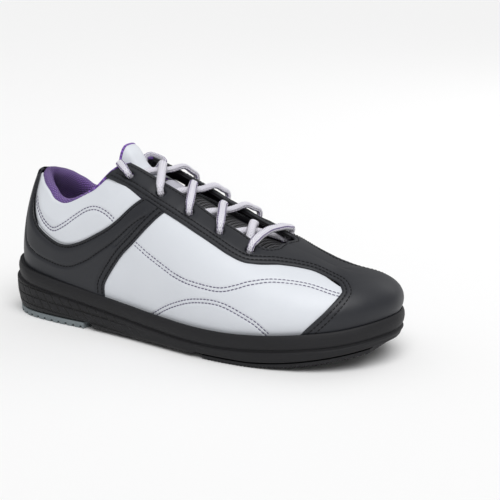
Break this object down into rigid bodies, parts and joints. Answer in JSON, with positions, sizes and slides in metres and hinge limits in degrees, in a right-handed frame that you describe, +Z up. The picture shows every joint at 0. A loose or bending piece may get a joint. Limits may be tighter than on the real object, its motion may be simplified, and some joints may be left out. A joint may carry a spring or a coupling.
{
  "type": "bowling shoe",
  "caption": "Right lace-up bowling shoe with smooth panels, padded collar, tongue, lacing and pull-off traction pads under ball and heel.",
  "frame": {"origin": "middle of the shoe's bounding box, at the ground", "axes": "+X towards the toe, -Y the outer side of the foot, +Z up"},
  "size_m": [0.285, 0.1015, 0.1214],
  "materials": {
    "white_leather": "smooth satin white synthetic leather",
    "black_leather": "smooth satin black synthetic leather",
    "black_mesh": "black spacer mesh",
    "purple_knit": "brushed purple knit",
    "sole_rubber": "matt moulded black rubber",
    "heel_pad_grey": "matt grey rubber",
    "backing_web": "hook-and-loop backing",
    "fibre_board": "fibre board",
    "foam": "open-cell foam",
    "white_web": "woven white webbing",
    "lace_cord": "woven white cord with a purple line",
    "clear_plastic": "clear plastic tip"
  },
  "bodies": {
    "upper": {"heel_hook_panel": "backing_web", "sole_hook_panel": "backing_web", "outsole_cup": "sole_rubber", "insole_board": "fibre_board", "footbed_foam": "foam", "footbed_cover": "purple_knit", "lateral_front_quarter": "white_leather", "lateral_heel_quarter": "white_leather", "lateral_heel_overlay": "black_leather", "medial_front_quarter": "white_leather", "medial_heel_quarter": "white_leather", "medial_heel_overlay": "black_leather", "lateral_eyestay_backing": "black_mesh", "medial_eyestay_backing": "black_mesh", "vamp_overlay": "black_leather", "toe_puff": "fibre_board", "vamp_lining": "black_mesh", "heel_counter": "fibre_board", "backstay": "black_leather", "collar_foam": "foam", "collar_lining": "purple_knit", "lace": "lace_cord", "lace_tail_lateral": "lace_cord", "aglet_lateral": "clear_plastic", "lace_tail_medial": "lace_cord", "aglet_medial": "clear_plastic"},
    "tongue": {"tongue_mesh": "black_mesh", "tongue_foam": "foam", "tongue_lining": "purple_knit", "tongue_patch": "white_leather", "lace_keeper_upper": "white_web", "lace_keeper_lower": "white_web"},
    "ball_traction_pad": {"sole_pad": "sole_rubber", "sole_pad_loop": "backing_web"},
    "heel_traction_pad": {"heel_pad": "heel_pad_grey", "heel_pad_loop": "backing_web"}
  },
  "joints": [
    {"name": "tongue_tilt", "type": "hinge", "parent": "upper", "child": "tongue", "pos_m": [0.0705, 0, 0.0595], "axis": [0, 1, 0], "range_deg": [-12, 0], "stiffness_Nm_per_rad": 0.4},
    {"name": "ball_pad_release", "type": "slide", "parent": "upper", "child": "ball_traction_pad", "axis": [0, 0, -1], "range_m": [0, 0.03]},
    {"name": "heel_pad_release", "type": "slide", "parent": "upper", "child": "heel_traction_pad", "axis": [0, 0, -1], "range_m": [0, 0.03]}
  ]
}
